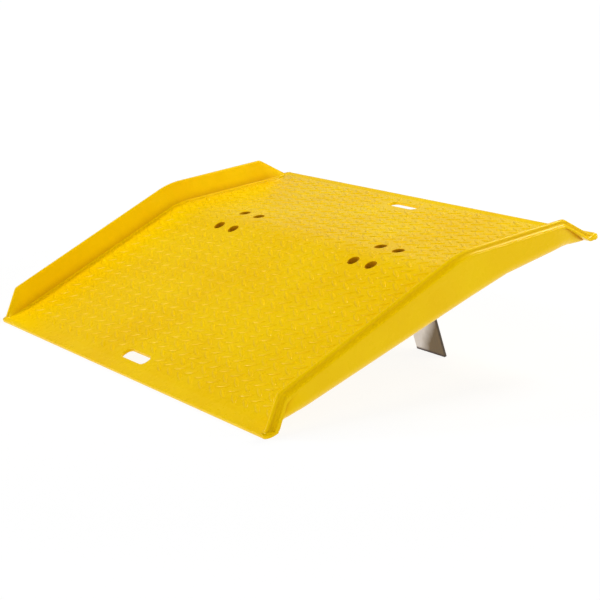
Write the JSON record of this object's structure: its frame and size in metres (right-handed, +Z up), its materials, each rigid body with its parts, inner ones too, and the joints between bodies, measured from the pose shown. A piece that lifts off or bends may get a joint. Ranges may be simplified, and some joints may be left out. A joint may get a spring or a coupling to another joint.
{
  "type": "ramp leveler",
  "caption": "Moulded yellow dock plate with side curbs, a crowned deck and bolted steel legs that hold it in the gap between a dock and a truck.",
  "frame": {"origin": "on the floor under the middle of the object's box, with the plate standing on its front lip and on the feet of its legs", "axes": "+X across the plate to its right side, +Y from the low front lip to the raised rear lip, +Z up"},
  "size_m": [0.914, 0.662, 0.2597],
  "materials": {
    "yellow_plastic": "satin moulded polyethylene",
    "steel": "bare flat bar",
    "zinc_plate": "bright zinc plate"
  },
  "bodies": {
    "root": {"deck_plate": "yellow_plastic", "leg_left": "steel", "leg_right": "steel", "bolt_left_front_outer": "zinc_plate", "upper_washer_left_front_outer": "zinc_plate", "lower_washer_left_front_outer": "zinc_plate", "lock_nut_left_front_outer": "zinc_plate", "bolt_left_front_inner": "zinc_plate", "upper_washer_left_front_inner": "zinc_plate", "lower_washer_left_front_inner": "zinc_plate", "lock_nut_left_front_inner": "zinc_plate", "bolt_left_rear_outer": "zinc_plate", "upper_washer_left_rear_outer": "zinc_plate", "lower_washer_left_rear_outer": "zinc_plate", "lock_nut_left_rear_outer": "zinc_plate", "bolt_left_rear_inner": "zinc_plate", "upper_washer_left_rear_inner": "zinc_plate", "lower_washer_left_rear_inner": "zinc_plate", "lock_nut_left_rear_inner": "zinc_plate", "bolt_right_front_outer": "zinc_plate", "upper_washer_right_front_outer": "zinc_plate", "lower_washer_right_front_outer": "zinc_plate", "lock_nut_right_front_outer": "zinc_plate", "bolt_right_front_inner": "zinc_plate", "upper_washer_right_front_inner": "zinc_plate", "lower_washer_right_front_inner": "zinc_plate", "lock_nut_right_front_inner": "zinc_plate", "bolt_right_rear_outer": "zinc_plate", "upper_washer_right_rear_outer": "zinc_plate", "lower_washer_right_rear_outer": "zinc_plate", "lock_nut_right_rear_outer": "zinc_plate", "bolt_right_rear_inner": "zinc_plate", "upper_washer_right_rear_inner": "zinc_plate", "lower_washer_right_rear_inner": "zinc_plate", "lock_nut_right_rear_inner": "zinc_plate"}
  },
  "joints": []
}
